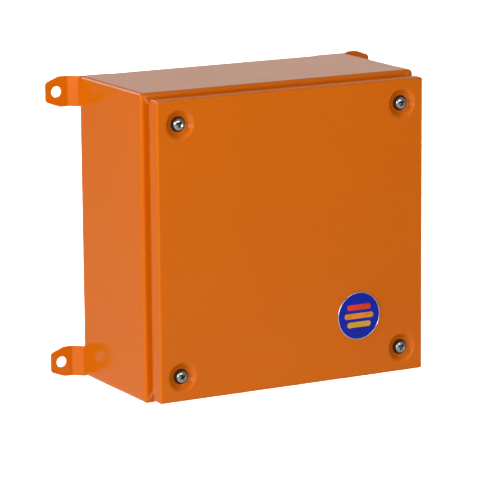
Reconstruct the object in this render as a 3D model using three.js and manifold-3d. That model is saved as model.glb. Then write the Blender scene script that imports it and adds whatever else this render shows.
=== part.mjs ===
// Fire-rated steel terminal enclosure: a folded sheet-steel box with a screwed pan lid,
// four joggled wall lugs and, inside, a mounting plate with ceramic terminals on a rail.
// Millimetres, +Z up. The front faces -Y, and the wall that carries the box is the plane y = 0.

import * as THREE from 'three';
import { mergeVertices } from 'three/addons/utils/BufferGeometryUtils.js';
import Module from 'manifold-3d';

const wasm = await Module();
wasm.setup();

// Driving dimensions
const SHEET = 1.5; // sheet thickness of body, rear panel and lid
const GAP = 0.3; // clearance kept between pieces that rest on each other
const BODY_SIDE = 250; // outside width and height of the box
const BODY_DEPTH = 109; // rear edge to the plane of the front flange
const BODY_CORNER = 3.5; // outside radius of the four long edges
const BEND = 3; // outside radius of the body's folded edges
const LID_SIDE = 243; // outside width and height of the lid
const LID_BEND = 2; // outside radius of the lid's folded edge and corners
const LID_PROUD = 20.5; // lid face in front of the flange
const LID_RETURN = 11.5; // depth of the lid's folded edge
const COLLAR_INSET = 8; // box side to the outside of the rain collar
const FOLD_STEPS = 3; // facets in a folded edge
const CORNER_STEPS = 3; // facets in a rounded corner

const LUG_WIDTH = 25;
const LUG_SHEET = 2;
const LUG_REACH = 27; // lug end beyond the box side
const LUG_TAB = 30; // length welded behind the rear panel
const LUG_OFFSET = 7.5; // wall clearance made by the joggle
const LUG_HOLE = 9;
const LUG_HOLE_OUT = 17.5; // hole centre beyond the box side
const LUG_TAPER = [12, 4.6]; // length and height cut from each outer corner

const SCREW_SPREAD = 101.5; // lid screws from the centre, in X and in Z
const DIMPLE_DEPTH = 4.5;
const DIMPLE_RIM = 12;
const DIMPLE_FLOOR = 7.5;
const WASHER = { radius: 6.25, thickness: 1.8 };
const LID_SCREW = { head: 4.9, height: 2.6, shank: 2.4, length: 25, cross: 2.9 };
const BRACKET = { leg: 32, sheet: 2, cut: 12 };
const NUT = { flats: 8, height: 4, bore: 2.65 };

const BADGE = { radius: 19.8, thickness: 1.2, x: 60.2, z: -69.9 };

const PLATE = { side: 196, sheet: 2, standoff: 12, spread: 85 };
const PLATE_STUD = { base: 5, thread: 3, length: 9 };
const PLATE_NUT = { flats: 10, height: 5, bore: 3.25 };
const EARTH = { x: -110, z: -60, thread: 3, length: 26 };

const RAIL = { length: 170, width: 35, height: 7.5, sheet: 1, web: 27, screwAt: 68 };
const TERMINAL = { count: 4, pitch: 16, width: 15.4, height: 52, depth: 34, screwAt: 15 };
const BAR = { side: 9, length: 46, bore: 3.1, back: 14.5 };
const CLAMP_SCREW = { head: 2.9, height: 2.6, shank: 1.9, recess: 2 };

// Planes along Y, from the wall to the lid
const REAR_Y = -(LUG_SHEET + LUG_OFFSET);
const PANEL_Y = REAR_Y - SHEET;
const PLATE_Y = PANEL_Y - PLATE.standoff - PLATE.sheet;
const RAIL_Y = PLATE_Y - GAP;
const FLANGE_Y = REAR_Y - BODY_DEPTH;
const LID_Y = FLANGE_Y - LID_PROUD;
const LID_INNER_Y = LID_Y + SHEET;
const DIMPLE_Y = LID_Y + DIMPLE_DEPTH;
const GASKET = { outer: LID_SIDE / 2 - 2.5, inner: LID_SIDE / 2 - 6.5, thickness: 4.7 };
const COLLAR_Y = LID_INNER_Y + GAP + GASKET.thickness + GAP;
const BRACKET_Y = FLANGE_Y + SHEET + GAP + BRACKET.sheet;

// Materials
const paint = new THREE.MeshStandardMaterial({ color: 0xd4660a, roughness: 0.35, metalness: 0 });
const zinc = new THREE.MeshStandardMaterial({ color: 0xb9bec2, roughness: 0.35, metalness: 1 });
const galvanised = new THREE.MeshStandardMaterial({ color: 0xa9adae, roughness: 0.5, metalness: 1 });
const brass = new THREE.MeshStandardMaterial({ color: 0xc9a54c, roughness: 0.35, metalness: 1 });
const rubber = new THREE.MeshStandardMaterial({ color: 0x141414, roughness: 0.8, metalness: 0 });
const silicone = new THREE.MeshStandardMaterial({ color: 0x7c2a1c, roughness: 0.75, metalness: 0 });
const ceramic = new THREE.MeshStandardMaterial({ color: 0xe9e4d6, roughness: 0.45, metalness: 0 });
const enamel = new THREE.MeshStandardMaterial({ color: 0x0c2fa6, roughness: 0.3, metalness: 0 });

const enclosure = new THREE.Group();

// Solids

function signedVolume(vertices, triangles) {
  const corner = (k) => new THREE.Vector3().fromArray(vertices, 3 * triangles[k]);
  let volume = 0;
  for (let t = 0; t < triangles.length; t += 3) {
    volume += corner(t).dot(corner(t + 1).cross(corner(t + 2))) / 6;
  }
  return volume;
}

function toSolid(geometry) {
  const bare = geometry.clone();
  bare.deleteAttribute('normal');
  bare.deleteAttribute('uv');
  const merged = mergeVertices(bare, 1e-4);
  const vertices = merged.attributes.position.array;
  const triangles = [];
  for (let t = 0; t < merged.index.count; t += 3) {
    const [a, b, c] = [0, 1, 2].map((k) => merged.index.getX(t + k));
    if (a !== b && b !== c && c !== a) triangles.push(a, b, c);
  }
  if (signedVolume(vertices, triangles) < 0) triangles.reverse();
  return new wasm.Manifold(new wasm.Mesh({
    numProp: 3,
    vertProperties: new Float32Array(vertices),
    triVerts: new Uint32Array(triangles),
  }));
}

function addPiece(name, solid, material) {
  const mesh = solid.getMesh();
  const geometry = new THREE.BufferGeometry();
  geometry.setAttribute('position', new THREE.BufferAttribute(new Float32Array(mesh.vertProperties), 3));
  geometry.setIndex(Array.from(mesh.triVerts));
  geometry.computeVertexNormals();
  const piece = new THREE.Mesh(geometry, material);
  piece.name = name;
  enclosure.add(piece);
}

function box(x0, x1, y0, y1, z0, z1) {
  const geometry = new THREE.BoxGeometry(x1 - x0, y1 - y0, z1 - z0);
  geometry.translate((x0 + x1) / 2, (y0 + y1) / 2, (z0 + z1) / 2);
  return toSolid(geometry);
}

// A round rod or hole along Y
function rod(x, z, radius, y0, y1, sides = 16) {
  const geometry = new THREE.CylinderGeometry(radius, radius, y1 - y0, sides);
  geometry.translate(x, (y0 + y1) / 2, z);
  return toSolid(geometry);
}

// A solid turned about a Y axis through (x, z); the profile lists [radius, y]
function turned(x, z, profile, sides = 16) {
  const points = profile.map(([radius, y]) => new THREE.Vector2(radius, y));
  const geometry = new THREE.LatheGeometry(points, sides);
  geometry.translate(x, 0, z);
  return toSolid(geometry);
}

function hexNut(x, z, { flats, height, bore }, y0) {
  const acrossCorners = flats / Math.cos(Math.PI / 6);
  const body = rod(x, z, acrossCorners / 2, y0, y0 + height, 6);
  return body.subtract(rod(x, z, bore, y0 - 1, y0 + height + 1));
}

// An outline in X and Y, extruded along Z
function extrudeAlongZ(outline, z0, z1) {
  const shape = new THREE.Shape(outline.map(([x, y]) => new THREE.Vector2(x, y)));
  const geometry = new THREE.ExtrudeGeometry(shape, { depth: z1 - z0, bevelEnabled: false });
  geometry.translate(0, 0, z0);
  return toSolid(geometry);
}

// An outline in X and Z, extruded along Y
function extrudeAlongY(outline, y0, y1) {
  const shape = new THREE.Shape(outline.map(([x, z]) => new THREE.Vector2(x, -z)));
  const geometry = new THREE.ExtrudeGeometry(shape, { depth: y1 - y0, bevelEnabled: false });
  geometry.rotateX(-Math.PI / 2);
  geometry.translate(0, y0, 0);
  return toSolid(geometry);
}

// An outline in Z and forward distance from the rail's seat, extruded along X
function extrudeAlongX(outline, x0, x1) {
  const shape = new THREE.Shape(outline.map(([z, forward]) => new THREE.Vector2(z, RAIL_Y - forward)));
  const geometry = new THREE.ExtrudeGeometry(shape, { depth: x1 - x0, bevelEnabled: false });
  geometry.applyMatrix4(new THREE.Matrix4().makeBasis(
    new THREE.Vector3(0, 0, 1), new THREE.Vector3(0, 1, 0), new THREE.Vector3(1, 0, 0),
  ));
  geometry.translate(x0, 0, 0);
  return toSolid(geometry);
}

// One ring of points round a square with rounded corners, in the plane y
function squareRing(half, radius, y) {
  const ring = [];
  for (let corner = 0; corner < 4; corner++) {
    const centreX = (corner === 0 || corner === 3 ? 1 : -1) * (half - radius);
    const centreZ = (corner < 2 ? 1 : -1) * (half - radius);
    for (let step = 0; step <= CORNER_STEPS; step++) {
      const angle = (corner + step / CORNER_STEPS) * Math.PI / 2;
      const x = centreX + radius * Math.cos(angle);
      const z = centreZ + radius * Math.sin(angle);
      ring.push(new THREE.Vector3(x, y, z));
    }
  }
  return ring;
}

// A skin over successive rings: closed on itself, or capped at both ends
function loft(rings, closed) {
  const count = rings[0].length;
  const vertices = rings.flat().flatMap((point) => point.toArray());
  const index = [];
  const spans = closed ? rings.length : rings.length - 1;
  for (let row = 0; row < spans; row++) {
    const next = (row + 1) % rings.length;
    for (let i = 0; i < count; i++) {
      const j = (i + 1) % count;
      const [a, b, c, d] = [row * count + i, row * count + j, next * count + j, next * count + i];
      index.push(a, b, c, a, c, d);
    }
  }
  if (!closed) {
    const last = (rings.length - 1) * count;
    for (let i = 1; i < count - 1; i++) {
      index.push(0, i + 1, i);
      index.push(last, last + i, last + i + 1);
    }
  }
  const geometry = new THREE.BufferGeometry();
  geometry.setAttribute('position', new THREE.Float32BufferAttribute(vertices, 3));
  geometry.setIndex(index);
  return toSolid(geometry);
}

// Points of an arc as [inset, y], angles in degrees
function arc(inset, y, radius, from, to) {
  return Array.from({ length: FOLD_STEPS + 1 }, (unused, step) => {
    const angle = THREE.MathUtils.degToRad(from + (to - from) * step / FOLD_STEPS);
    return [inset + radius * Math.cos(angle), y + radius * Math.sin(angle)];
  });
}

// A section of [inset, y] points carried round a square of the given side
function sweepRound(side, corner, section, closed) {
  const smallest = 0.6;
  const rings = section.map(([inset, y]) =>
    squareRing(side / 2 - inset, Math.max(corner - inset, smallest), y));
  return loft(rings, closed);
}

// A square pan with a folded edge; its face is at faceY and its edge runs to edgeY
function pan(side, corner, bend, faceY, edgeY) {
  const way = Math.sign(edgeY - faceY);
  const centre = faceY + way * bend;
  const section = [
    ...arc(bend, centre, bend, -90 * way, -180 * way),
    [0, edgeY],
    [SHEET, edgeY],
    ...arc(bend, centre, bend - SHEET, -180 * way, -90 * way),
  ];
  return sweepRound(side, corner, section, false);
}

const CORNERS = [
  { name: 'top_left', x: -1, z: 1 },
  { name: 'top_right', x: 1, z: 1 },
  { name: 'bottom_left', x: -1, z: -1 },
  { name: 'bottom_right', x: 1, z: -1 },
];

// Enclosure

function bodyShell() {
  const tight = BEND - SHEET;
  const section = [
    [0, REAR_Y],
    ...arc(BEND, FLANGE_Y + BEND, BEND, 180, 270),
    ...arc(COLLAR_INSET - tight, FLANGE_Y - tight, tight, 90, 0),
    [COLLAR_INSET, COLLAR_Y],
    [COLLAR_INSET + SHEET, COLLAR_Y],
    ...arc(COLLAR_INSET - tight, FLANGE_Y - tight, BEND, 0, 90),
    ...arc(BEND, FLANGE_Y + BEND, tight, 270, 180),
    [SHEET, REAR_Y],
  ];
  return sweepRound(BODY_SIDE, BODY_CORNER, section, true);
}

function rearPanel() {
  const side = BODY_SIDE - 2 * (SHEET + GAP);
  const foldDepth = 10;
  return pan(side, BODY_CORNER - SHEET, BEND - 0.5, REAR_Y, REAR_Y - foldDepth);
}

function wallLug({ x, z }) {
  const side = BODY_SIDE / 2;
  const tabY = REAR_Y + GAP;
  const flatY = -LUG_SHEET;
  const rise = flatY - tabY;
  const mitre = LUG_SHEET * Math.tan(Math.PI / 8);
  const start = side + 0.5;
  const section = [
    [side - LUG_TAB, tabY],
    [start, tabY],
    [start + rise, flatY],
    [side + LUG_REACH, flatY],
    [side + LUG_REACH, 0],
    [start + rise - mitre, 0],
    [start - mitre, tabY + LUG_SHEET],
    [side - LUG_TAB, tabY + LUG_SHEET],
  ].map(([px, py]) => [x * px, py]);
  const middle = z * (side - LUG_WIDTH / 2);
  const half = LUG_WIDTH / 2;
  let lug = extrudeAlongZ(section, middle - half, middle + half);
  const end = side + LUG_REACH;
  const [taperLength, taperHeight] = LUG_TAPER;
  for (const edge of [-1, 1]) {
    const outer = middle + edge * (half + 1);
    const slope = taperHeight / taperLength;
    lug = lug.subtract(extrudeAlongY([
      [x * (end - taperLength - 1 / slope), outer],
      [x * (end + 1), outer],
      [x * (end + 1), middle + edge * (half - taperHeight - slope)],
    ], REAR_Y, 1));
  }
  return lug.subtract(rod(x * (side + LUG_HOLE_OUT), middle, LUG_HOLE / 2, REAR_Y, 1, 24));
}

// Radius of a dimple's wall at a fraction of its depth below the rim
function dimpleRadius(fraction) {
  const ease = (1 - Math.cos(Math.PI * fraction)) / 2;
  return DIMPLE_RIM - (DIMPLE_RIM - DIMPLE_FLOOR) * (0.5 * fraction + 0.5 * ease);
}

function dimpleProfile(offset) {
  const steps = 3;
  const wall = Array.from({ length: steps + 1 }, (unused, step) =>
    [dimpleRadius(step / steps) + offset, LID_Y + offset + DIMPLE_DEPTH * step / steps]);
  return [[0, LID_Y - 1 + offset], [DIMPLE_RIM + offset, LID_Y - 1 + offset], ...wall,
    [0, DIMPLE_Y + offset]];
}

function lid() {
  let cover = pan(LID_SIDE, LID_BEND, LID_BEND, LID_Y, LID_Y + LID_RETURN);
  for (const { x, z } of CORNERS) {
    const [screwX, screwZ] = [x * SCREW_SPREAD, z * SCREW_SPREAD];
    const cup = turned(screwX, screwZ, dimpleProfile(SHEET), 24);
    const inFront = box(screwX - 20, screwX + 20, LID_Y - 3, LID_Y + SHEET / 2, screwZ - 20, screwZ + 20);
    const shankHole = rod(screwX, screwZ, LID_SCREW.shank + 0.5, DIMPLE_Y - 1, DIMPLE_Y + 3);
    cover = cover.add(cup.subtract(inFront));
    cover = cover.subtract(turned(screwX, screwZ, dimpleProfile(0), 24)).subtract(shankHole);
  }
  return cover;
}

function lidGasket() {
  const front = LID_INNER_Y + GAP;
  const back = front + GASKET.thickness;
  const chamfer = 1;
  const rings = [
    squareRing(GASKET.outer, 2, front),
    squareRing(GASKET.outer, 2, back - chamfer),
    squareRing(GASKET.outer - chamfer, 1.5, back),
    squareRing(GASKET.inner + chamfer, 1, back),
    squareRing(GASKET.inner, 1, back - chamfer),
    squareRing(GASKET.inner, 1, front),
  ];
  return loft(rings, true);
}

function sealingWasher(x, z) {
  const back = DIMPLE_Y - GAP;
  const ring = rod(x, z, WASHER.radius, back - WASHER.thickness, back, 24);
  return ring.subtract(rod(x, z, LID_SCREW.shank + 0.2, back - 5, back + 5));
}

function lidScrew(x, z) {
  const seat = DIMPLE_Y - GAP - WASHER.thickness - GAP;
  const { head, height, shank, length, cross } = LID_SCREW;
  const tip = seat + length;
  const screw = turned(x, z, [
    [0, seat - height],
    [head * 0.5, seat - height * 0.96],
    [head * 0.83, seat - height * 0.78],
    [head, seat - height * 0.4],
    [head, seat],
    [shank, seat],
    [shank, tip - 1],
    [shank - 0.8, tip],
    [0, tip],
  ]);
  const arms = box(x - cross, x + cross, seat - height - 1, seat - height + 1.8, z - 0.7, z + 0.7)
    .add(box(x - 0.7, x + 0.7, seat - height - 1, seat - height + 1.8, z - cross, z + cross));
  return screw.subtract(arms);
}

function cornerBracket({ x, z }) {
  const outer = BODY_SIDE / 2 - BEND;
  const inner = outer - BRACKET.leg;
  const plate = extrudeAlongY([
    [x * (outer - 2), z * outer],
    [x * outer, z * (outer - 2)],
    [x * outer, z * inner],
    [x * (inner + BRACKET.cut), z * inner],
    [x * inner, z * (inner + BRACKET.cut)],
    [x * inner, z * outer],
  ], BRACKET_Y - BRACKET.sheet, BRACKET_Y);
  return plate.subtract(rod(x * SCREW_SPREAD, z * SCREW_SPREAD, NUT.bore, BRACKET_Y - 5, BRACKET_Y + 5));
}

function badge() {
  const { radius, thickness, x, z } = BADGE;
  const back = LID_Y - 0.2;
  const front = back - thickness;
  return turned(x, z, [
    [0, front + 0.3],
    [radius - 2.4, front + 0.3],
    [radius - 1.8, front],
    [radius - 0.5, front],
    [radius, front + 0.5],
    [radius, back],
    [0, back],
  ], 32);
}

// Inside

function mountingPlate() {
  const half = PLATE.side / 2;
  let plate = box(-half, half, PLATE_Y, PLATE_Y + PLATE.sheet, -half, half);
  for (const { x, z } of CORNERS) {
    plate = plate.subtract(
      rod(x * PLATE.spread, z * PLATE.spread, PLATE_STUD.thread + 0.4, PLATE_Y - 5, PLATE_Y + 5));
  }
  for (const x of [-RAIL.screwAt, RAIL.screwAt]) {
    plate = plate.subtract(rod(x, 0, 2.6, PLATE_Y - 5, PLATE_Y + 5));
  }
  return plate;
}

function plateStud(x, z) {
  const foot = PANEL_Y - GAP;
  const shoulder = PLATE_Y + PLATE.sheet + GAP;
  const end = PLATE_Y - PLATE_STUD.length;
  return turned(x, z, [
    [0, foot],
    [PLATE_STUD.base, foot],
    [PLATE_STUD.base, shoulder],
    [PLATE_STUD.thread, shoulder],
    [PLATE_STUD.thread, end + 0.8],
    [PLATE_STUD.thread - 0.8, end],
    [0, end],
  ]);
}

function earthStud() {
  const foot = PANEL_Y - GAP;
  const end = foot - EARTH.length;
  return turned(EARTH.x, EARTH.z, [
    [0, foot],
    [EARTH.thread + 2, foot],
    [EARTH.thread + 2, foot - 2],
    [EARTH.thread, foot - 2],
    [EARTH.thread, end + 0.8],
    [EARTH.thread - 0.8, end],
    [0, end],
  ]);
}

function dinRail() {
  const { length, width, height, sheet, web } = RAIL;
  const [halfWeb, halfWidth] = [web / 2, width / 2];
  const half = [
    [halfWeb, 0], [halfWeb, height - sheet], [halfWidth, height - sheet], [halfWidth, height],
    [halfWeb - sheet, height], [halfWeb - sheet, sheet],
  ];
  const mirrored = [...half].reverse().map(([z, forward]) => [-z, forward]);
  let rail = extrudeAlongX([...half, ...mirrored], -length / 2, length / 2);
  for (const x of [-RAIL.screwAt, RAIL.screwAt]) {
    rail = rail.subtract(rod(x, 0, 2.6, RAIL_Y - 3, RAIL_Y + 3));
  }
  return rail;
}

function railScrew(x) {
  const seat = RAIL_Y - RAIL.sheet - GAP;
  const tip = PLATE_Y + PLATE.sheet + 4;
  const screw = turned(x, 0, [
    [0, seat - 3],
    [3, seat - 2.8],
    [4.6, seat - 1.2],
    [4.6, seat],
    [2.3, seat],
    [2.3, tip],
    [0, tip],
  ]);
  const slot = box(x - 6, x + 6, seat - 4, seat - 1.8, -0.6, 0.6);
  return screw.subtract(slot);
}

// The foot that hooks both flanges of the rail, under a block of the given size
function railFootOutline(height, depth) {
  const { width, height: railHeight, sheet, web } = RAIL;
  const seat = railHeight + GAP;
  const hookIn = web / 2 + 0.7;
  const hookOut = width / 2 + 0.4;
  const hookBack = railHeight - sheet - GAP;
  const half = [
    [hookOut, seat], [hookOut, hookBack], [hookIn, hookBack], [hookIn, hookBack - 1.2],
    [hookOut + 2.5, hookBack - 1.2], [hookOut + 2.5, seat + 3], [height / 2, seat + 5],
    [height / 2, seat + depth - 8], [height / 2 - 6, seat + depth],
  ];
  const mirrored = [...half].reverse().map(([z, forward]) => [-z, forward]);
  return [...half, ...mirrored];
}

// A round hole along Z
function holeAlongZ(x, y, radius, length) {
  const geometry = new THREE.CylinderGeometry(radius, radius, length, 16);
  geometry.rotateX(Math.PI / 2);
  geometry.translate(x, y, 0);
  return toSolid(geometry);
}

const BAR_FRONT = RAIL_Y - RAIL.height - BAR.back - BAR.side;
const BAR_MIDDLE = BAR_FRONT + BAR.side / 2;
const TERMINAL_FRONT = RAIL_Y - RAIL.height - GAP - TERMINAL.depth;

function terminalBody(x) {
  const half = TERMINAL.width / 2;
  let body = extrudeAlongX(railFootOutline(TERMINAL.height, TERMINAL.depth), x - half, x + half);
  const tunnel = BAR.side / 2 + GAP;
  body = body.subtract(box(
    x - tunnel, x + tunnel, BAR_MIDDLE - tunnel, BAR_MIDDLE + tunnel, -TERMINAL.height, TERMINAL.height));
  for (const z of [-TERMINAL.screwAt, TERMINAL.screwAt]) {
    body = body.subtract(rod(x, z, CLAMP_SCREW.head + 0.5, TERMINAL_FRONT - 5, BAR_MIDDLE));
  }
  return body;
}

function terminalBar(x) {
  const half = BAR.side / 2;
  let bar = box(x - half, x + half, BAR_FRONT, BAR_FRONT + BAR.side, -BAR.length / 2, BAR.length / 2);
  bar = bar.subtract(holeAlongZ(x, BAR_MIDDLE, BAR.bore, BAR.length + 2));
  for (const z of [-TERMINAL.screwAt, TERMINAL.screwAt]) {
    bar = bar.subtract(rod(x, z, CLAMP_SCREW.shank + 0.2, BAR_FRONT - 1, BAR_MIDDLE));
  }
  return bar;
}

function clampScrew(x, z) {
  const { head, height, shank, recess } = CLAMP_SCREW;
  const top = TERMINAL_FRONT + recess;
  const tip = BAR_MIDDLE - BAR.bore - 0.2;
  const screw = turned(x, z, [
    [0, top],
    [head - 0.4, top],
    [head, top + 0.4],
    [head, top + height],
    [shank, top + height],
    [shank, tip],
    [0, tip],
  ], 12);
  return screw.subtract(box(x - 4, x + 4, top - 1, top + 1.2, z - 0.5, z + 0.5));
}

function endClamp(x) {
  const [height, depth, width] = [44, 16, 8];
  return extrudeAlongX(railFootOutline(height, depth), x - width / 2, x + width / 2);
}

// Assembly

addPiece('body_shell', bodyShell(), paint);
addPiece('rear_panel', rearPanel(), paint);
addPiece('lid', lid(), paint);
addPiece('lid_gasket', lidGasket(), silicone);
addPiece('badge', badge(), enamel);
addPiece('mounting_plate', mountingPlate(), galvanised);

for (const corner of CORNERS) {
  const [screwX, screwZ] = [corner.x * SCREW_SPREAD, corner.z * SCREW_SPREAD];
  const [studX, studZ] = [corner.x * PLATE.spread, corner.z * PLATE.spread];
  addPiece(`wall_lug_${corner.name}`, wallLug(corner), paint);
  addPiece(`lid_screw_${corner.name}`, lidScrew(screwX, screwZ), zinc);
  addPiece(`sealing_washer_${corner.name}`, sealingWasher(screwX, screwZ), rubber);
  addPiece(`corner_bracket_${corner.name}`, cornerBracket(corner), paint);
  addPiece(`weld_nut_${corner.name}`, hexNut(screwX, screwZ, NUT, BRACKET_Y + GAP), zinc);
  addPiece(`plate_stud_${corner.name}`, plateStud(studX, studZ), zinc);
  addPiece(`plate_nut_${corner.name}`,
    hexNut(studX, studZ, PLATE_NUT, PLATE_Y - GAP - PLATE_NUT.height), zinc);
}

addPiece('din_rail', dinRail(), galvanised);
addPiece('rail_screw_left', railScrew(-RAIL.screwAt), zinc);
addPiece('rail_screw_right', railScrew(RAIL.screwAt), zinc);

for (let number = 1; number <= TERMINAL.count; number++) {
  const x = (number - (TERMINAL.count + 1) / 2) * TERMINAL.pitch;
  addPiece(`terminal_body_${number}`, terminalBody(x), ceramic);
  addPiece(`terminal_bar_${number}`, terminalBar(x), brass);
  addPiece(`clamp_screw_${number}_top`, clampScrew(x, TERMINAL.screwAt), zinc);
  addPiece(`clamp_screw_${number}_bottom`, clampScrew(x, -TERMINAL.screwAt), zinc);
}

const clampAt = TERMINAL.count * TERMINAL.pitch / 2 + 5;
addPiece('end_clamp_left', endClamp(-clampAt), zinc);
addPiece('end_clamp_right', endClamp(clampAt), zinc);

const earthNutY = PANEL_Y - GAP - 2 - GAP - PLATE_NUT.height;
addPiece('earth_stud', earthStud(), brass);
addPiece('earth_nut', hexNut(EARTH.x, EARTH.z, PLATE_NUT, earthNutY), brass);

export default enclosure;
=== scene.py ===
"""Studio scene of the fire-rated terminal enclosure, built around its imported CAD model.

Pieces are worked out in millimetres and scaled to metres when their mesh is made.
The floor, the lights, the camera and the scales of the noises are in metres.
The front of the box faces -Y, +X is to its right and +Z is up.
"""

import math

import bmesh
import bpy
from mathutils import Matrix, Vector


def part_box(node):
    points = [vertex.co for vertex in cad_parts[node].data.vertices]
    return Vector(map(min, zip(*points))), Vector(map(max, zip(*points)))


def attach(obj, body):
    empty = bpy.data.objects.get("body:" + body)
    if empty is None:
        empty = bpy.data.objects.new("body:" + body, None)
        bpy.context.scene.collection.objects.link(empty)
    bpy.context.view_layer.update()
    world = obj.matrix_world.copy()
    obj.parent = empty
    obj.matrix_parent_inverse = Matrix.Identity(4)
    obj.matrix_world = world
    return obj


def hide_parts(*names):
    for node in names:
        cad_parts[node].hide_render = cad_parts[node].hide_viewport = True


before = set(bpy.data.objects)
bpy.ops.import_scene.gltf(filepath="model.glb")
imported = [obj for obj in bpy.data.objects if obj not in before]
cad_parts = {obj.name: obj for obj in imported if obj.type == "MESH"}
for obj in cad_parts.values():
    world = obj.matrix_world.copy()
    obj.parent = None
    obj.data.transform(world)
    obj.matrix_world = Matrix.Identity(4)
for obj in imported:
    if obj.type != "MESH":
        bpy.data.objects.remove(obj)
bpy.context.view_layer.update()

MM = 0.001
CORNERS = {
    "top_left": (-1, 1),
    "top_right": (1, 1),
    "bottom_left": (-1, -1),
    "bottom_right": (1, -1),
}
TERMINALS = range(1, 5)


# ---------------------------------------------------------------- places read from the CAD


def node_box(name):
    """Lowest and highest corner of a CAD node, in millimetres."""
    low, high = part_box(name)
    return Vector(low) / MM, Vector(high) / MM


BODY_LOW, BODY_HIGH = node_box("body_shell")
_, LID_HIGH = node_box("lid")
PANEL_LOW, PANEL_HIGH = node_box("rear_panel")

BODY_HALF = BODY_HIGH.x
LID_HALF = LID_HIGH.x
PANEL_HALF = PANEL_HIGH.x
REAR_Y = BODY_HIGH.y
COLLAR_Y = BODY_LOW.y
PANEL_EDGE_Y = PANEL_LOW.y
LID_EDGE_Y = LID_HIGH.y

# Points of a mesh that are closer than this are joined
MERGE = 1e-4

# Sheet metal; the bends are outside radii
SHEET = 1.5
BEND = 3.0
PANEL_BEND = 2.5
LID_BEND = 2.0
BODY_CORNER = 3.5
INNER_CORNER = 1.4
LID_INNER_CORNER = 0.8
COLLAR_INSET = 8.0
LID_RETURN = 11.5
LID_Y = LID_EDGE_Y - LID_RETURN
FLANGE_BEHIND_LID = 20.5
FLANGE_Y = LID_Y + FLANGE_BEHIND_LID

# Chamfers of cut edges, and of the narrower edges round the opening and the holes
CUT_EDGE = 0.35
LIP_EDGE = 0.3

# A loop of points this far in front of the rear edge keeps the walls' shading flat
REAR_LOOP = 6.0
BEND_STEPS = 8
CORNER_STEPS = 8

# Mitre welds at the flange's corners: half their width, how far their spine comes
# forward on its way to the collar, and the steps between the points that carry them
# on the flange and beside each corner
SEAM_HALF_WIDTH = 2.7
SEAM_CLIMB = 5.0
ON_FLANGE = (0.7, 1.4, 2.1)
BESIDE_CORNER = (0.6, 1.2, 1.9, 2.8)

# Dimples and screws
DIMPLE_DEPTH = 4.5
DIMPLE_OUTER = 13.0
DIMPLE_FLOOR = 6.6
DIMPLE_STEPS = 12
DIMPLE_SIDES = 72
DIMPLE_WALL_LEAN = 0.75
SHANK_HOLE = 2.9

# Wall lugs
LUG_SHEET = 2.0
LUG_TAB = 30.0
LUG_START = 0.1
LUG_BEND = 3.0
LUG_HOLE = 4.5
LUG_HOLE_SIDES = 48
LUG_HOLE_FROM_END = 9.5
LUG_TAPER = (12.0, 4.6)
LUG_ROUNDING = 3.2


# ---------------------------------------------------------------- mesh helpers


def new_object(name, mesh, material, body):
    """Link a mesh as a piece that rides on a CAD body."""
    piece = bpy.data.objects.new(name, mesh)
    bpy.context.scene.collection.objects.link(piece)
    mesh.materials.clear()
    mesh.materials.append(material)
    for polygon in mesh.polygons:
        polygon.use_smooth = True
    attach(piece, body)
    return piece


def even_normals(piece):
    """Let flat faces keep their own normal next to rounded edges."""
    weighted = piece.modifiers.new("even_normals", "WEIGHTED_NORMAL")
    weighted.mode = "FACE_AREA"
    weighted.weight = 100
    weighted.keep_sharp = True


def close_up(bm):
    """Join the points that meet and turn the normals outward."""
    bmesh.ops.remove_doubles(bm, verts=bm.verts, dist=MERGE)
    bmesh.ops.recalc_face_normals(bm, faces=bm.faces)


def mesh_as_is(bm, name):
    """Turn a bmesh into a mesh, in the units that it has."""
    mesh = bpy.data.meshes.new(name)
    bm.to_mesh(mesh)
    bm.free()
    return mesh


def mesh_from(bm, name, transform=None):
    """Turn a bmesh in millimetres into a mesh in metres, with its normals outward."""
    close_up(bm)
    if transform is not None:
        bmesh.ops.transform(bm, matrix=transform, verts=bm.verts)
    bmesh.ops.scale(bm, vec=(MM, MM, MM), verts=bm.verts)
    return mesh_as_is(bm, name)


def arc(centre, radius, start, stop, steps):
    """Points of an arc, with angles in degrees."""
    points = []
    for step in range(steps + 1):
        angle = math.radians(start + (stop - start) * step / steps)
        points.append((centre[0] + radius * math.cos(angle), centre[1] + radius * math.sin(angle)))
    return points


def smoothstep(value):
    """From 0 to 1 with no slope at either end."""
    value = min(max(value, 0.0), 1.0)
    return value * value * (3 - 2 * value)


def square_ring(bm, half, radius, y, bead=0.0):
    """Vertices round a square with rounded corners; a weld seam stands proud on its diagonals."""
    ring = []
    for quarter, (sx, sz) in enumerate([(1, 1), (-1, 1), (-1, -1), (1, -1)]):
        centre = (sx * (half - radius), sz * (half - radius))
        start = 90 * quarter
        curve = [Vector(point) for point in arc(centre, radius, start, start + 90, CORNER_STEPS)]
        along = (curve[0] - Vector(centre)).orthogonal().normalized()
        if along.dot(curve[-1] - curve[0]) < 0:
            along.negate()
        leave = (Vector(centre) - curve[0]).normalized()
        points = [curve[0] - along * step for step in reversed(BESIDE_CORNER)] + curve
        points += [curve[-1] + leave * step for step in BESIDE_CORNER]
        for x, z in points:
            from_diagonal = abs(x * sz - z * sx) / math.sqrt(2)
            proud = bead * math.cos(math.pi / 2 * min(from_diagonal / SEAM_HALF_WIDTH, 1.0)) ** 2
            ring.append(bm.verts.new((x, y - proud, z)))
    return ring


def bridge(bm, first, second):
    """Faces between two rings of the same count."""
    count = len(first)
    for i in range(count):
        j = (i + 1) % count
        bm.faces.new((first[i], first[j], second[j], second[i]))


def bridge_all(bm, rings):
    """Faces between each ring and the next."""
    for first, second in zip(rings, rings[1:]):
        bridge(bm, first, second)


def close_with_tip(bm, ring, tip):
    """Triangles from a ring to one point."""
    for i, vertex in enumerate(ring):
        bm.faces.new((vertex, ring[(i + 1) % len(ring)], tip))


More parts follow.
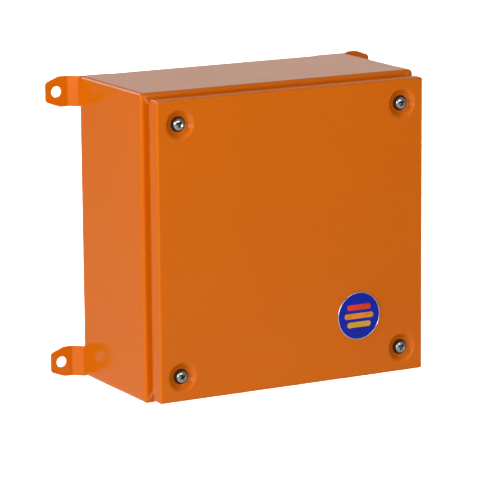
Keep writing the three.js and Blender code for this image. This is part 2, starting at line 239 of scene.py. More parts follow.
def ring_edges(bm, ring):
    """The edges that run round a ring."""
    edges = []
    for i, vertex in enumerate(ring):
        pair = (vertex, ring[(i + 1) % len(ring)])
        edges.append(bm.edges.get(pair) or bm.edges.new(pair))
    return edges


def fill_between(bm, *rings):
    """A flat face inside the first ring and outside the others."""
    edges = [edge for ring in rings for edge in ring_edges(bm, ring)]
    bmesh.ops.triangle_fill(bm, use_beauty=True, use_dissolve=False, edges=edges)


def circle_ring(bm, x, z, radius, y, sides):
    """Vertices round a circle that faces Y."""
    ring = []
    for side in range(sides):
        angle = 2 * math.pi * side / sides
        ring.append(bm.verts.new((x + radius * math.cos(angle), y, z + radius * math.sin(angle))))
    return ring


def turned(bm, profile, sides, x=0.0, z=0.0):
    """A skin turned about a Y axis; a radius of zero closes it."""
    previous = None
    for radius, y in profile:
        if radius == 0:
            tip = bm.verts.new((x, y, z))
            if previous is not None:
                close_with_tip(bm, previous, tip)
            previous = [tip]
            continue
        ring = circle_ring(bm, x, z, radius, y, sides)
        if previous is not None and len(previous) == 1:
            close_with_tip(bm, ring, previous[0])
        elif previous is not None:
            bridge(bm, previous, ring)
        previous = ring


def rounded_outline(points, radius, steps=4):
    """A closed outline whose corners are rounded."""
    result = []
    count = len(points)
    for i in range(count):
        here = Vector(points[i])
        before = (Vector(points[i - 1]) - here).normalized()
        after = (Vector(points[(i + 1) % count]) - here).normalized()
        opening = before.angle(after)
        reach = radius / math.tan(opening / 2)
        centre = here + (before + after).normalized() * radius / math.sin(opening / 2)
        first = here + before * reach - centre
        last = here + after * reach - centre
        for step in range(steps + 1):
            blend = first.lerp(last, step / steps).normalized() * radius
            result.append(tuple(centre + blend))
    return result


def plate_mesh(outlines, thickness, edge):
    """A flat plate in X and Y with rounded edges; outlines after the first are holes."""
    curve = bpy.data.curves.new("plate", "CURVE")
    curve.dimensions = "2D"
    curve.fill_mode = "BOTH"
    curve.extrude = thickness / 2 - edge
    curve.bevel_depth = edge
    curve.bevel_resolution = 2
    curve.offset = -edge
    for outline in outlines:
        spline = curve.splines.new("POLY")
        spline.points.add(len(outline) - 1)
        for point, (x, y) in zip(spline.points, outline):
            point.co = (x, y, 0, 1)
        spline.use_cyclic_u = True
    holder = bpy.data.objects.new("plate", curve)
    bpy.context.scene.collection.objects.link(holder)
    bpy.context.view_layer.update()
    evaluated = holder.evaluated_get(bpy.context.evaluated_depsgraph_get())
    bm = bmesh.new()
    bm.from_mesh(evaluated.to_mesh())
    evaluated.to_mesh_clear()
    bpy.data.objects.remove(holder)
    bpy.data.curves.remove(curve)
    bmesh.ops.remove_doubles(bm, verts=bm.verts, dist=MERGE)
    return bm


# ---------------------------------------------------------------- material helpers


# Noise gathers round its middle, so layers spread the values between these
NOISE_LOW = 0.3
NOISE_HIGH = 0.7

# Painted shade in hollows is darkest below the first share of open sky and ends at the second
CREVICE_SHADE_FROM = 0.35
CREVICE_SHADE_TO = 0.85
CREVICE_SHADE_DARKEST = 0.02


class Surface:
    """A Principled material with a few procedural layers; scales are cells to a metre."""

    def __init__(self, name, colour, roughness, metallic=0.0, specular=0.5):
        self.material = bpy.data.materials.new(name)
        self.material.use_nodes = True
        self.nodes = self.material.node_tree.nodes
        self.links = self.material.node_tree.links
        self.shader = self.nodes["Principled BSDF"]
        self.shader.inputs["Base Color"].default_value = colour
        self.shader.inputs["Roughness"].default_value = roughness
        self.shader.inputs["Metallic"].default_value = metallic
        self.shader.inputs["Specular IOR Level"].default_value = specular
        self.colour = colour
        self.coordinates = self.nodes.new("ShaderNodeTexCoord").outputs["Object"]
        self.normal = None

    def stretched(self, scale):
        """Coordinates scaled along each axis."""
        mapping = self.nodes.new("ShaderNodeMapping")
        mapping.inputs["Scale"].default_value = scale
        self.links.new(self.coordinates, mapping.inputs["Vector"])
        return mapping.outputs["Vector"]

    def noise(self, scale, detail=3.0, stretch=None):
        """Cloudy noise; detail is how many finer layers it has."""
        texture = self.nodes.new("ShaderNodeTexNoise")
        texture.inputs["Scale"].default_value = scale
        texture.inputs["Detail"].default_value = detail
        source = self.stretched(stretch) if stretch else self.coordinates
        self.links.new(source, texture.inputs["Vector"])
        return texture.outputs["Fac"]

    def cells(self, scale):
        """Cells with a random colour each."""
        texture = self.nodes.new("ShaderNodeTexVoronoi")
        texture.inputs["Scale"].default_value = scale
        self.links.new(self.coordinates, texture.inputs["Vector"])
        return texture.outputs["Color"]

    def ramp(self, source, low, high, start, stop):
        """Colour that goes from low to high between two values of the source."""
        ramp = self.nodes.new("ShaderNodeValToRGB")
        ramp.color_ramp.elements[0].position = start
        ramp.color_ramp.elements[0].color = low
        ramp.color_ramp.elements[1].position = stop
        ramp.color_ramp.elements[1].color = high
        self.links.new(source, ramp.inputs["Fac"])
        return ramp.outputs["Color"]

    def vary_colour(self, source, dark, light, start=NOISE_LOW, stop=NOISE_HIGH):
        """Colour between two multiples of the base colour."""
        low = tuple(channel * dark for channel in self.colour[:3]) + (1.0,)
        high = tuple(min(channel * light, 1.0) for channel in self.colour[:3]) + (1.0,)
        self.links.new(self.ramp(source, low, high, start, stop), self.shader.inputs["Base Color"])

    def vary_roughness(self, source, low, high):
        """Roughness between two values."""
        spread = self.nodes.new("ShaderNodeMapRange")
        spread.inputs["From Min"].default_value = NOISE_LOW
        spread.inputs["From Max"].default_value = NOISE_HIGH
        spread.inputs["To Min"].default_value = low
        spread.inputs["To Max"].default_value = high
        self.links.new(source, spread.inputs["Value"])
        self.links.new(spread.outputs["Result"], self.shader.inputs["Roughness"])

    def bump(self, source, height):
        """Relief of the given height in millimetres."""
        bump = self.nodes.new("ShaderNodeBump")
        bump.inputs["Distance"].default_value = height * MM
        bump.inputs["Strength"].default_value = 1.0
        self.links.new(source, bump.inputs["Height"])
        if self.normal is not None:
            self.links.new(self.normal, bump.inputs["Normal"])
        self.normal = bump.outputs["Normal"]
        self.links.new(self.normal, self.shader.inputs["Normal"])

    def paint_crevice_shade(self, distance):
        """Painted shade: the base colour darkens in hollows narrower than the distance, in
        millimetres.
        """
        open_sky = self.nodes.new("ShaderNodeAmbientOcclusion")
        open_sky.inputs["Distance"].default_value = distance * MM
        light = self.nodes.new("ShaderNodeMapRange")
        light.inputs["From Min"].default_value = CREVICE_SHADE_FROM
        light.inputs["From Max"].default_value = CREVICE_SHADE_TO
        light.inputs["To Min"].default_value = CREVICE_SHADE_DARKEST
        self.links.new(open_sky.outputs["AO"], light.inputs["Value"])
        blend = self.nodes.new("ShaderNodeMix")
        blend.data_type = "RGBA"
        blend.blend_type = "MULTIPLY"
        blend.inputs[0].default_value = 1.0
        before = self.shader.inputs["Base Color"].links[0].from_socket
        self.links.new(before, blend.inputs[6])
        self.links.new(light.outputs["Result"], blend.inputs[7])
        self.links.new(blend.outputs[2], self.shader.inputs["Base Color"])

    def coat(self, weight, roughness):
        """A clear coat."""
        self.shader.inputs["Coat Weight"].default_value = weight
        self.shader.inputs["Coat Roughness"].default_value = roughness


# ---------------------------------------------------------------- materials

ORANGE = (0.74, 0.152, 0.0004, 1.0)


def powder_coat(name):
    """Glossy powder coat: faint orange peel, finer grain and slow changes of shade."""
    surface = Surface(name, ORANGE, 0.15, specular=0.26)
    surface.vary_colour(surface.noise(9, 2), 0.98, 1.015)
    surface.vary_roughness(surface.noise(60, 3), 0.14, 0.18)
    surface.bump(surface.noise(420, 2), 0.005)
    surface.bump(surface.noise(1900, 2), 0.0014)
    return surface.material


def plated_steel(name, colour, roughness, crevice_shade=False):
    """Zinc plating: bright, with fine turning marks and cloudy patches, and painted shade in its
    hollows if asked.
    """
    surface = Surface(name, colour, roughness, metallic=1.0)
    surface.vary_colour(surface.noise(260, 4), 0.82, 1.06)
    surface.vary_roughness(surface.noise(700, 3), roughness * 0.75, roughness * 1.3)
    surface.bump(surface.noise(2600, 2, stretch=(1, 0.25, 1)), 0.004)
    if crevice_shade:
        # Painted shade: the cross recess and the other hollows go almost black
        surface.paint_crevice_shade(2.0)
    return surface.material


def galvanised_sheet():
    """Hot-dip zinc with its spangle."""
    surface = Surface("galvanised_sheet_look", (0.46, 0.48, 0.49, 1.0), 0.42, metallic=1.0)
    surface.vary_colour(surface.cells(150), 0.8, 1.12, 0.1, 0.9)
    surface.vary_roughness(surface.noise(240, 4), 0.32, 0.52)
    surface.bump(surface.noise(600, 3), 0.01)
    return surface.material


def brass():
    """Sawn and drilled brass, drawn along Z."""
    surface = Surface("brass_look", (0.66, 0.44, 0.14, 1.0), 0.3, metallic=1.0)
    surface.vary_colour(surface.noise(90, 4), 0.8, 1.08)
    surface.vary_roughness(surface.noise(500, 3), 0.22, 0.4)
    surface.bump(surface.noise(1500, 3, stretch=(1, 1, 0.04)), 0.006)
    return surface.material


def steatite():
    """Fired steatite: off-white, faintly speckled and slightly waxy."""
    surface = Surface("ceramic_look", (0.78, 0.74, 0.64, 1.0), 0.4, specular=0.4)
    surface.vary_colour(surface.noise(1400, 2), 0.9, 1.03, 0.35, 0.6)
    surface.vary_roughness(surface.noise(160, 3), 0.34, 0.5)
    surface.bump(surface.noise(900, 3), 0.012)
    return surface.material


def rubber(name, colour):
    """Matt moulded rubber with a fine grain."""
    surface = Surface(name, colour, 0.62, specular=0.35)
    surface.vary_colour(surface.noise(300, 3), 0.75, 1.25)
    surface.vary_roughness(surface.noise(700, 3), 0.52, 0.74)
    surface.bump(surface.noise(2200, 3), 0.01)
    return surface.material


def enamel(name, colour):
    """Fired enamel under a clear coat, with a faint uneven flow."""
    surface = Surface(name, colour, 0.3, specular=0.2)
    surface.vary_colour(surface.noise(160, 3), 0.86, 1.12)
    surface.vary_roughness(surface.noise(220, 3), 0.22, 0.36)
    surface.bump(surface.noise(320, 2), 0.015)
    surface.coat(0.25, 0.06)
    return surface.material


BODY_PAINT = powder_coat("body_powder_coat")
LID_PAINT = powder_coat("lid_powder_coat")
# The screw steel carries painted shade in its cross recesses
SCREW_STEEL = plated_steel("screw_steel_look", (0.46, 0.48, 0.46, 1.0), 0.18, crevice_shade=True)
ZINC = plated_steel("zinc_look", (0.56, 0.57, 0.56, 1.0), 0.33)
RIM_STEEL = plated_steel("badge_rim_look", (0.78, 0.79, 0.82, 1.0), 0.22)
GALVANISED = galvanised_sheet()
BRASS = brass()
CERAMIC = steatite()
# Black rubber whose dark red tint is a painted reflection of the orange lid round it
WASHER_RUBBER_AND_REFLECTION = rubber("washer_rubber_and_reflection_look", (0.03, 0.005, 0.005, 1.0))
SILICONE = rubber("silicone_look", (0.21, 0.028, 0.016, 1.0))
BADGE_BLUE = enamel("badge_blue_look", (0.0, 0.013, 0.4, 1.0))
BADGE_RED = enamel("badge_red_look", (0.82, 0.05, 0.006, 1.0))
BADGE_AMBER = enamel("badge_amber_look", (0.83, 0.27, 0.012, 1.0))
BADGE_YELLOW = enamel("badge_yellow_look", (0.8, 0.4, 0.015, 1.0))


# ---------------------------------------------------------------- enclosure


def swept_square(half, corner, section, closed, smallest=INNER_CORNER):
    """A section of (inset, y, bead) points carried round a square."""
    bm = bmesh.new()
    rings = []
    for inset, y, bead in section:
        rings.append(square_ring(bm, half - inset, max(corner - inset, smallest), y, bead))
    bridge_all(bm, rings)
    if closed:
        bridge(bm, rings[-1], rings[0])
    return bm, rings


def plain(points):
    """Section points with no weld on them."""
    return [(inset, y, 0.0) for inset, y in points]


def seam_rise(inset, y):
    """How far the weld's spine stands in front of a sheet point, by its inset from the wall."""
    spine = FLANGE_Y + BEND - SEAM_CLIMB * math.sqrt(inset / COLLAR_INSET)
    return y - spine


def body_shell():
    """Folded walls, front flange and rain collar, with the flange's ground mitre welds."""
    tight = BEND - SHEET
    outer_bend = arc((BEND, FLANGE_Y + BEND), BEND, 180, 270, BEND_STEPS)
    collar_foot = arc((COLLAR_INSET - tight, FLANGE_Y - tight), tight, 90, 0, BEND_STEPS)
    section = plain([(0.0, REAR_Y - CUT_EDGE), (0.0, REAR_Y - REAR_LOOP)])
    flat = [(BEND + step, FLANGE_Y) for step in ON_FLANGE]
    for inset, y in outer_bend + flat + collar_foot:
        section.append((inset, y, seam_rise(inset, y)))
    section += plain([
        (COLLAR_INSET, COLLAR_Y + LIP_EDGE),
        (COLLAR_INSET + LIP_EDGE, COLLAR_Y),
        (COLLAR_INSET + SHEET - LIP_EDGE, COLLAR_Y),
        (COLLAR_INSET + SHEET, COLLAR_Y + LIP_EDGE),
    ])
    section += plain(arc((COLLAR_INSET - tight, FLANGE_Y - tight), BEND, 0, 90, BEND_STEPS))
    section += plain(arc((BEND, FLANGE_Y + BEND), tight, 270, 180, BEND_STEPS))
    section += plain([(SHEET, REAR_Y - CUT_EDGE), (SHEET - CUT_EDGE, REAR_Y), (CUT_EDGE, REAR_Y)])
    bm, _ = swept_square(BODY_HALF, BODY_CORNER, section, True)
    piece = new_object("folded_body", mesh_from(bm, "folded_body"), BODY_PAINT, "enclosure")
    even_normals(piece)
    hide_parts("body_shell")


def rear_panel():
    """The pan that closes the back, folded forward inside the walls."""
    tight = PANEL_BEND - SHEET
    centre = (PANEL_BEND, REAR_Y - PANEL_BEND)
    section = plain(arc(centre, PANEL_BEND, 90, 180, BEND_STEPS))
    section += plain([
        (0.0, PANEL_EDGE_Y + LIP_EDGE),
        (LIP_EDGE, PANEL_EDGE_Y),
        (SHEET - LIP_EDGE, PANEL_EDGE_Y),
        (SHEET, PANEL_EDGE_Y + LIP_EDGE),
    ])
    section += plain(arc(centre, tight, 180, 90, BEND_STEPS))
    bm, rings = swept_square(PANEL_HALF, BODY_CORNER - SHEET, section, False)
    fill_between(bm, rings[0])
    fill_between(bm, rings[-1])
    piece = new_object("folded_rear_panel", mesh_from(bm, "rear"), BODY_PAINT, "enclosure")
    even_normals(piece)
    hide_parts("rear_panel")


def dimple_profile(offset):
    """(radius, y) from the flat face down to the dimple's floor; offset goes through the sheet."""
    points = []
    for step in range(DIMPLE_STEPS + 1):
        fraction = step / DIMPLE_STEPS
        radius = DIMPLE_OUTER + (DIMPLE_FLOOR - DIMPLE_OUTER) * fraction
        depth = DIMPLE_DEPTH * smoothstep(fraction)
        slope = math.sin(math.pi * fraction)
        points.append((radius + offset * DIMPLE_WALL_LEAN * slope, LID_Y + depth + offset))
    return points


def lid():
    """Pan lid with a pressed dimple at each corner screw."""
    tight = LID_BEND - SHEET
    centre = (LID_BEND, LID_Y + LID_BEND)
    section = plain(arc(centre, LID_BEND, 270, 180, BEND_STEPS))
    section += plain([
        (0.0, LID_EDGE_Y - CUT_EDGE),
        (CUT_EDGE, LID_EDGE_Y),
        (SHEET - CUT_EDGE, LID_EDGE_Y),
        (SHEET, LID_EDGE_Y - CUT_EDGE),
    ])
    section += plain(arc(centre, tight, 180, 270, BEND_STEPS))
    bm, rings = swept_square(LID_HALF, LID_BEND, section, False, smallest=LID_INNER_CORNER)
    floor = LID_Y + DIMPLE_DEPTH
    hole = [
        (SHANK_HOLE + LIP_EDGE, floor),
        (SHANK_HOLE, floor + LIP_EDGE),
        (SHANK_HOLE, floor + SHEET),
    ]
    front_rims, back_rims = [], []
    for corner in CORNERS:
        x, z = screw_place(corner)
        front = [circle_ring(bm, x, z, r, y, DIMPLE_SIDES) for r, y in dimple_profile(0.0)]
        back = [circle_ring(bm, x, z, r, y, DIMPLE_SIDES) for r, y in dimple_profile(SHEET)]
        front += [circle_ring(bm, x, z, r, y, DIMPLE_SIDES) for r, y in hole]
        bridge_all(bm, front)
        bridge_all(bm, back)
        bridge(bm, back[-1], front[-1])
        front_rims.append(front[0])
        back_rims.append(back[0])
    fill_between(bm, rings[0], *front_rims)
    fill_between(bm, rings[-1], *back_rims)
    piece = new_object("pressed_lid", mesh_from(bm, "pressed_lid"), LID_PAINT, "lid")
    even_normals(piece)
    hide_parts("lid")


def screw_place(corner):
    """X and Z of a lid screw's axis."""
    low, high = node_box(f"sealing_washer_{corner}")
    return (low.x + high.x) / 2, (low.z + high.z) / 2


# ---------------------------------------------------------------- wall lugs


def lug_route(end_x, tab_y, flat_y):
    """Lengths of the lug's middle line: tab, bend, slope, bend, flat."""
    rise = flat_y - tab_y
    corner = LUG_BEND * math.tan(math.pi / 8)
    first_x = BODY_HALF + LUG_START
    tab = first_x - (BODY_HALF - LUG_TAB) - corner
    bend = LUG_BEND * math.pi / 4
    slope = rise * math.sqrt(2) - 2 * corner
    flat = end_x - (first_x + rise) - corner
    return tab, bend, slope, flat


def lug_point(along, start_x, tab_y, lengths):
    """Position and direction of the lug's middle line at a length along it."""
    tab, bend, slope, flat = lengths
    x, y, angle = start_x, tab_y, 0.0
    for turn, length in ((0, tab), (1, bend), (0, slope), (-1, bend), (0, flat)):
        step = min(along, length)
        if turn == 0:
            x += step * math.cos(angle)
            y += step * math.sin(angle)
        else:
            swept = turn * step / LUG_BEND
            x += turn * LUG_BEND * (math.sin(angle + swept) - math.sin(angle))
            y -= turn * LUG_BEND * (math.cos(angle + swept) - math.cos(angle))
            angle += swept
        along -= step
    return x, y, angle


def wall_lug(corner):
    """A joggled strap with a tapered end, rounded bends and a round hole."""
    sign_x, _ = CORNERS[corner]
    low, high = node_box(f"wall_lug_{corner}")
    end_x = max(abs(low.x), abs(high.x))
    middle_z = (low.z + high.z) / 2
    half = (high.z - low.z) / 2
    tab_y = low.y + LUG_SHEET / 2
    flat_y = high.y - LUG_SHEET / 2
    lengths = lug_route(end_x, tab_y, flat_y)
    tab, bend, slope, flat = lengths
    total = tab + 2 * bend + slope + flat
    cut_long, cut_high = LUG_TAPER
    outline = rounded_outline([
        (0, -half),
        (total - cut_long, -half),
        (total, -half + cut_high),
        (total, half - cut_high),
        (total - cut_long, half),
        (0, half),
    ], LUG_ROUNDING)
    last = 360 / LUG_HOLE_SIDES
    hole = arc((total - LUG_HOLE_FROM_END, 0), LUG_HOLE, 360, last, LUG_HOLE_SIDES - 1)
    bm = plate_mesh([outline, hole], LUG_SHEET, CUT_EDGE)
    for start in (tab, tab + bend + slope):
        for step in range(BEND_STEPS + 1):
            cut = (start + bend * step / BEND_STEPS, 0, 0)
            everything = bm.verts[:] + bm.edges[:] + bm.faces[:]
            bmesh.ops.bisect_plane(bm, geom=everything, plane_co=cut, plane_no=(1, 0, 0))
    start_x = BODY_HALF - LUG_TAB
    for vertex in bm.verts:
        along, across, through = vertex.co
        x, y, angle = lug_point(along, start_x, tab_y, lengths)
        x -= through * math.sin(angle)
        y += through * math.cos(angle)
        vertex.co = (sign_x * x, y, middle_z + across)
    name = f"joggled_lug_{corner}"
    piece = new_object(name, mesh_from(bm, name), BODY_PAINT, "enclosure")
    even_normals(piece)
    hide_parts(f"wall_lug_{corner}")


# ---------------------------------------------------------------- lid screws and washers

SCREW_SIDES = 40
SCREW_CREASE = 38
HEAD_CLEARANCE = 0.3
NECK_FILLET = 0.25

# The head's crown ends at an angle; its skirt is a share of its height
HEAD = {"crown_end": 12, "crown_steps": 9, "skirt": 0.2, "edge_in": 0.2, "edge_up": 0.3}

# The thread starts after a plain part and fades into a tapered tip
THREAD = {"outer": 2.45, "depth": 0.32, "pitch": 0.8, "steps": 8}
PLAIN_SHANK = 2.5
TIP = 1.2
TIP_TAPER = 0.55

# The cross: its arms' reach at the crown and at the foot, their half width at the crown
# and the share of it at the foot, the foot's depth, and how far the point goes beyond
RECESS = {"reach": 3.1, "foot": 1.2, "width": 0.8, "foot_width": 0.72, "depth": 2.0, "point": 0.7}

# The cutter starts above the crown, and its arms are longer and wider there
CUTTER_ABOVE = 1.0
CUTTER_FLARE = (0.35, 0.12)

# How far each screw was left turned, in degrees
SCREW_TURN = {"top_left": 24, "top_right": 31, "bottom_left": 62, "bottom_right": 28}

WASHER_SIDES = 56
WASHER_FACE = 5.0
WASHER_BORE = 2.65
WASHER_BORE_EDGE = 0.1
WASHER_BORE_START = 0.3


def screw_head_profile(radius, height):
    """A pan head from its crown to its bearing face; y is 0 at the seat."""
    skirt = HEAD["skirt"]
    crown = arc((0, 0), 1.0, 90, HEAD["crown_end"], HEAD["crown_steps"])
    points = [(0, -height)]
    for across, up in crown[1:]:
        points.append((radius * across, -height * (skirt + (1 - skirt) * up)))
    points += [(radius, -height * skirt), (radius, -HEAD["edge_up"])]
    points.append((radius - HEAD["edge_in"], 0.0))
    return points


def thread_rings(bm, start, stop):
    """Shank rings whose radius follows the helix of the thread."""
    outer, depth, pitch = THREAD["outer"], THREAD["depth"], THREAD["pitch"]
    count = round((stop - start) / pitch * THREAD["steps"])
    rings = []
    for row in range(count + 1):
        y = start + (stop - start) * row / count
        past_tip = y - stop + TIP
        full = smoothstep((y - start) / pitch) * (1 - smoothstep(past_tip / TIP))
        ring = []
        for side in range(SCREW_SIDES):
            phase = (y / pitch + side / SCREW_SIDES) % 1.0
            groove = 1 - abs(2 * phase - 1)
            radius = outer - depth * (groove * full + 1 - full)
            if y > stop - TIP:
                radius -= TIP_TAPER * past_tip
            angle = 2 * math.pi * side / SCREW_SIDES
            ring.append(bm.verts.new((radius * math.cos(angle), y, radius * math.sin(angle))))
        rings.append(ring)
    bridge_all(bm, rings)
    return rings


def cross_cutter(crown_y):
    """The tapered cross that is pressed into the screw's head."""
    bm = bmesh.new()
    rings = []
    width = RECESS["width"]
    longer, wider = CUTTER_FLARE
    above = (-CUTTER_ABOVE, RECESS["reach"] + longer, width + wider)
    foot = (RECESS["depth"], RECESS["foot"], width * RECESS["foot_width"])
    for level, reach, half in (above, foot):
        ring = []
        for quarter in range(4):
            turn = Matrix.Rotation(math.pi / 2 * quarter, 2)
            for x, z in ((half, half), (half, reach), (-half, reach)):
                across = turn @ Vector((x, z))
                ring.append(bm.verts.new((across.x, crown_y + level, across.y)))
        rings.append(ring)
    bridge(bm, rings[0], rings[1])
    bm.faces.new(rings[0])
    tip = bm.verts.new((0, crown_y + RECESS["depth"] + RECESS["point"], 0))
    close_with_tip(bm, rings[1], tip)
    bmesh.ops.recalc_face_normals(bm, faces=bm.faces)
    return mesh_as_is(bm, "cross_cutter")


def screw_template(head, height, length):
    """One screw at the origin, in millimetres, with its seat at y = 0."""
    bm = bmesh.new()
    profile = screw_head_profile(head, height)
    turned(bm, profile, SCREW_SIDES)
    seat_edge = circle_ring(bm, 0, 0, profile[-1][0], 0.0, SCREW_SIDES)
    core = THREAD["outer"] - THREAD["depth"]
    neck = circle_ring(bm, 0, 0, core + NECK_FILLET, 0.0, SCREW_SIDES)
    throat = circle_ring(bm, 0, 0, core, NECK_FILLET, SCREW_SIDES)
    bridge_all(bm, [seat_edge, neck, throat])
    rings = thread_rings(bm, PLAIN_SHANK, length)
    bridge(bm, throat, rings[0])
    bm.faces.new(rings[-1])
    close_up(bm)
    screw = bpy.data.objects.new("screw_template", mesh_as_is(bm, "screw_template"))
    cutter = bpy.data.objects.new("cross_cutter", cross_cutter(-height))
    for holder in (screw, cutter):
        bpy.context.scene.collection.objects.link(holder)
    cut = screw.modifiers.new("recess", "BOOLEAN")
    cut.object = cutter
    cut.operation = "DIFFERENCE"
    cut.solver = "EXACT"
    bpy.context.view_layer.update()
    evaluated = screw.evaluated_get(bpy.context.evaluated_depsgraph_get())
    result = bpy.data.meshes.new_from_object(evaluated)
    bpy.data.objects.remove(screw)
    bpy.data.objects.remove(cutter)
    return result


def lid_screws():
    """Four copies of one screw, each turned its own way."""
    low, high = node_box("lid_screw_top_left")
    washer_low, _ = node_box("sealing_washer_top_left")
    seat_y = washer_low.y - HEAD_CLEARANCE
    head = (high.x - low.x) / 2
    template = screw_template(head, seat_y - low.y, high.y - seat_y)
    for corner in CORNERS:
        x, z = screw_place(corner)
        bm = bmesh.new()
        bm.from_mesh(template)
        turn = Matrix.Rotation(math.radians(SCREW_TURN[corner]), 4, "Y")
        name = f"pan_head_screw_{corner}"
        mesh = mesh_from(bm, name, Matrix.Translation((x, seat_y, z)) @ turn)
        piece = new_object(name, mesh, SCREW_STEEL, f"screw_{corner}")
        mesh.set_sharp_from_angle(angle=math.radians(SCREW_CREASE))
        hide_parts(f"lid_screw_{corner}")


def washers():
    """Bonded rubber washers, squeezed round at their edge."""
    for corner in CORNERS:
        low, high = node_box(f"sealing_washer_{corner}")
        x, z = screw_place(corner)
        outer = (high.x - low.x) / 2
        thick = high.y - low.y
        middle = (low.y + high.y) / 2
        rim = arc((outer - thick / 2, middle), thick / 2, 90, -90, 8)
        profile = rim + [
            (WASHER_FACE, low.y),
            (WASHER_BORE + WASHER_BORE_EDGE, low.y + WASHER_BORE_EDGE),
            (WASHER_BORE, low.y + WASHER_BORE_START),
            (WASHER_BORE, high.y - WASHER_BORE_EDGE),
        ]
        bm = bmesh.new()
        turned(bm, profile + [profile[0]], WASHER_SIDES, x, z)
        name = f"squeezed_washer_{corner}"
        piece = new_object(name, mesh_from(bm, name), WASHER_RUBBER_AND_REFLECTION, f"washer_{corner}")
        even_normals(piece)
        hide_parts(f"sealing_washer_{corner}")


# ---------------------------------------------------------------- badge


BADGE_SIDES = 96
RIM_WIDTH = 0.75
RIM_ROUNDING = 0.5
RIM_BACK_EDGE = 0.2
RIM_INNER_EDGE = (0.1, 0.15)

# The field lies behind the rim's front, on a bed in the rim; its middle is crowned
FIELD_SUNK = 0.3
FIELD_BED = 0.15
FIELD_BACK = 0.13
FIELD_CROWN = 0.12
FIELD_FALL = 0.2
FIELD_GAP = 0.03
FIELD_STEPS = 6

BAR_HEIGHT = 4.6
BAR_THICKNESS = 0.36
BAR_EDGE = 0.12
BAR_IN_FRONT = 0.06
BAR_END_FLAT = 0.05
BAR_SPACING = 7.2
BARS = (
    ("badge_bar_upper", 1, 22.0, BADGE_RED),
    ("badge_bar_middle", 0, 27.0, BADGE_AMBER),
    ("badge_bar_lower", -1, 22.0, BADGE_YELLOW),
)


def badge():
    """A plain enamel disc: pale rim, blue field and three bars, with no lettering."""
    low, high = node_box("badge")
    x = (low.x + high.x) / 2
    z = (low.z + high.z) / 2
    radius = (high.x - low.x) / 2
    front, back = low.y, high.y
    field_y = front + FIELD_SUNK
    opening = radius - RIM_WIDTH
    edge_in, edge_back = RIM_INNER_EDGE
    bm = bmesh.new()
    rim_profile = [(0, back), (radius - RIM_BACK_EDGE, back), (radius, back - RIM_BACK_EDGE)]
    rim_profile += arc((radius - RIM_ROUNDING, front + RIM_ROUNDING), RIM_ROUNDING, 0, -90, 5)
    rim_profile += [(opening + edge_in, front), (opening, front + edge_back)]
    rim_profile += [(opening, field_y + FIELD_BED), (0, field_y + FIELD_BED)]
    turned(bm, rim_profile, BADGE_SIDES, x, z)
    rim = new_object("badge_rim", mesh_from(bm, "badge_rim"), RIM_STEEL, "lid")
    even_normals(rim)
    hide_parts("badge")
    bm = bmesh.new()
    inner = opening - FIELD_GAP
    crown_y = field_y - FIELD_CROWN
    dome = [(0, crown_y)]
    for step in range(1, FIELD_STEPS + 1):
        fraction = step / FIELD_STEPS
        dome.append((inner * fraction, crown_y + FIELD_FALL * fraction ** 4))
    dome += [(inner, field_y + FIELD_BACK), (0, field_y + FIELD_BACK)]
    turned(bm, dome, BADGE_SIDES, x, z)
    field = new_object("badge_field", mesh_from(bm, "badge_field"), BADGE_BLUE, "lid")
    even_normals(field)
    upright = Matrix.Rotation(math.pi / 2, 4, "X")
    tall = BAR_HEIGHT / 2
    for name, row, length, material in BARS:
        wide = length / 2
        box = [(-wide, -tall), (wide, -tall), (wide, tall), (-wide, tall)]
        outline = rounded_outline(box, tall - BAR_END_FLAT, 8)
        bm = plate_mesh([outline], BAR_THICKNESS, BAR_EDGE)
        spot = (x, field_y - BAR_IN_FRONT, z + BAR_SPACING * row)
        place = Matrix.Translation(spot) @ upright
        bar = new_object(name, mesh_from(bm, name, place), material, "lid")
        even_normals(bar)


# ---------------------------------------------------------------- materials of the CAD nodes


def dress(names, material):
    """Give a better material to CAD nodes that keep their shape."""
    for name in names:
        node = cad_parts[name]
        if not node.material_slots:
            node.data.materials.append(material)
        for holder in node.material_slots:
            holder.material = material


def per_corner(stem):
    """The names of a node that every corner has."""
    return [f"{stem}_{corner}" for corner in CORNERS]


def dress_inside():
    """Materials of everything behind the lid."""
    dress(per_corner("corner_bracket"), BODY_PAINT)
    dress(["lid_gasket"], SILICONE)
    hardware = per_corner("weld_nut") + per_corner("plate_stud") + per_corner("plate_nut")
    hardware += ["rail_screw_left", "rail_screw_right", "end_clamp_left", "end_clamp_right"]
    dress(hardware, ZINC)
    dress(["mounting_plate", "din_rail"], GALVANISED)
    dress([f"terminal_body_{n}" for n in TERMINALS], CERAMIC)
    dress([f"terminal_bar_{n}" for n in TERMINALS] + ["earth_stud", "earth_nut"], BRASS)
    dress([f"clamp_screw_{n}_{end}" for n in TERMINALS for end in ("top", "bottom")], SCREW_STEEL)


# ---------------------------------------------------------------- studio

CAMERA_PLACE = (-1.2464, -2.3437, 0.5138)
CAMERA_YAW = 28.69
CAMERA_PITCH = 11.66
CAMERA_ROLL = -0.45
CAMERA_LENS = 232.1
SENSOR_WIDTH = 36.0
FAR_CLIP = 60.0

WHITE = (1.0, 1.0, 1.0)
HORIZON_TINT = (1.0, 0.95, 0.8)
WORLD_STRENGTH = 0.26
FLOOR_Z = -0.45
FLOOR_HALF = 30.0
FLOOR_GREY = (0.86, 0.86, 0.86, 1.0)


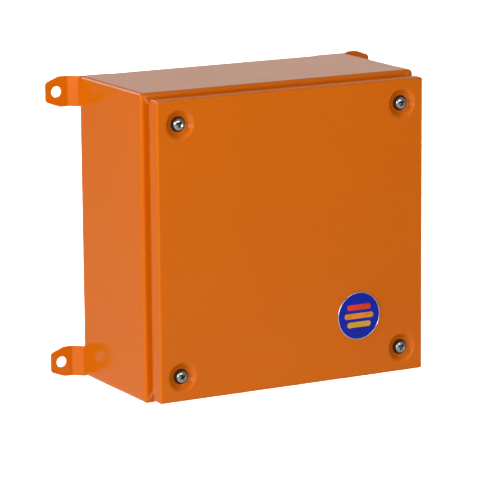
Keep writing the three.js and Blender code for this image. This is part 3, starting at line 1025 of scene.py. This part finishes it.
def camera():
    """Yaw turns from +Y towards +X, pitch looks down and roll lifts the right side."""
    yaw, pitch, roll = (math.radians(v) for v in (CAMERA_YAW, CAMERA_PITCH, CAMERA_ROLL))
    flat = math.cos(pitch)
    ahead = Vector((math.sin(yaw) * flat, math.cos(yaw) * flat, -math.sin(pitch)))
    level = Vector((math.cos(yaw), -math.sin(yaw), 0))
    upright = level.cross(ahead)
    right = level * math.cos(roll) + upright * math.sin(roll)
    up = upright * math.cos(roll) - level * math.sin(roll)
    data = bpy.data.cameras.new("camera")
    data.lens = CAMERA_LENS
    data.sensor_width = SENSOR_WIDTH
    data.clip_end = FAR_CLIP
    holder = bpy.data.objects.new("camera", data)
    turn = Matrix((right, up, -ahead)).transposed().to_4x4()
    holder.matrix_world = Matrix.Translation(CAMERA_PLACE) @ turn
    bpy.context.scene.collection.objects.link(holder)
    bpy.context.scene.camera = holder


def softbox(name, place, target, size, power, spread=180, turn=0.0, colour=WHITE):
    """A rectangular light that faces its target; with none it looks down, turned about Z."""
    data = bpy.data.lights.new(name, "AREA")
    data.shape = "RECTANGLE"
    data.size, data.size_y = size
    data.energy = power
    data.color = colour
    data.spread = math.radians(spread)
    holder = bpy.data.objects.new(name, data)
    holder.location = place
    if target is None:
        holder.rotation_euler = (0, 0, math.radians(turn))
    else:
        aim = Vector(target) - Vector(place)
        holder.rotation_euler = aim.to_track_quat("-Z", "Y").to_euler()
    holder.visible_camera = False
    bpy.context.scene.collection.objects.link(holder)


def studio():
    """A pale floor, seven soft lights and a white world."""
    bm = bmesh.new()
    bmesh.ops.create_grid(bm, x_segments=1, y_segments=1, size=FLOOR_HALF)
    mesh = mesh_as_is(bm, "floor")
    floor = bpy.data.objects.new("floor", mesh)
    floor.location = (0, 0, FLOOR_Z)
    bpy.context.scene.collection.objects.link(floor)
    surface = Surface("floor_look", FLOOR_GREY, 0.8, specular=0.1)
    surface.vary_roughness(surface.noise(3, 2), 0.75, 0.85)
    mesh.materials.append(surface.material)

    softbox("key", (-0.1, -2.0, 0.85), (0, -0.1, 0), (2.0, 0.14), 10.5)
    softbox("rim", (-0.6, 2.6, 1.5), (0, 0, 0), (1.2, 0.9), 9)
    softbox("front", (-0.9, -1.5, 0.2), (0, -0.1, 0), (0.2, 0.2), 3.2)
    softbox("side", (-1.75, -0.7, 0.28), (-0.1, -0.05, 0), (1.0, 0.8), 11)
    softbox("left", (-1.6, -0.5, 0.9), (0, -0.1, 0), (0.4, 0.3), 7)
    softbox("backdrop", (1.4, 2.5, 1.0), None, (1.3, 4.4), 50, spread=70, turn=-29.3)
    softbox("horizon", (3.2, 5.6, 1.1), (0, 0, 0.2), (5.0, 1.4), 11, colour=HORIZON_TINT)

    world = bpy.data.worlds.new("studio")
    world.use_nodes = True
    background = world.node_tree.nodes["Background"]
    background.inputs["Color"].default_value = (*WHITE, 1.0)
    background.inputs["Strength"].default_value = WORLD_STRENGTH
    bpy.context.scene.world = world
    view = bpy.context.scene.view_settings
    view.view_transform = "Standard"
    view.look = "None"


camera()
studio()
body_shell()
rear_panel()
lid()
for corner_name in CORNERS:
    wall_lug(corner_name)
lid_screws()
washers()
badge()
dress_inside()
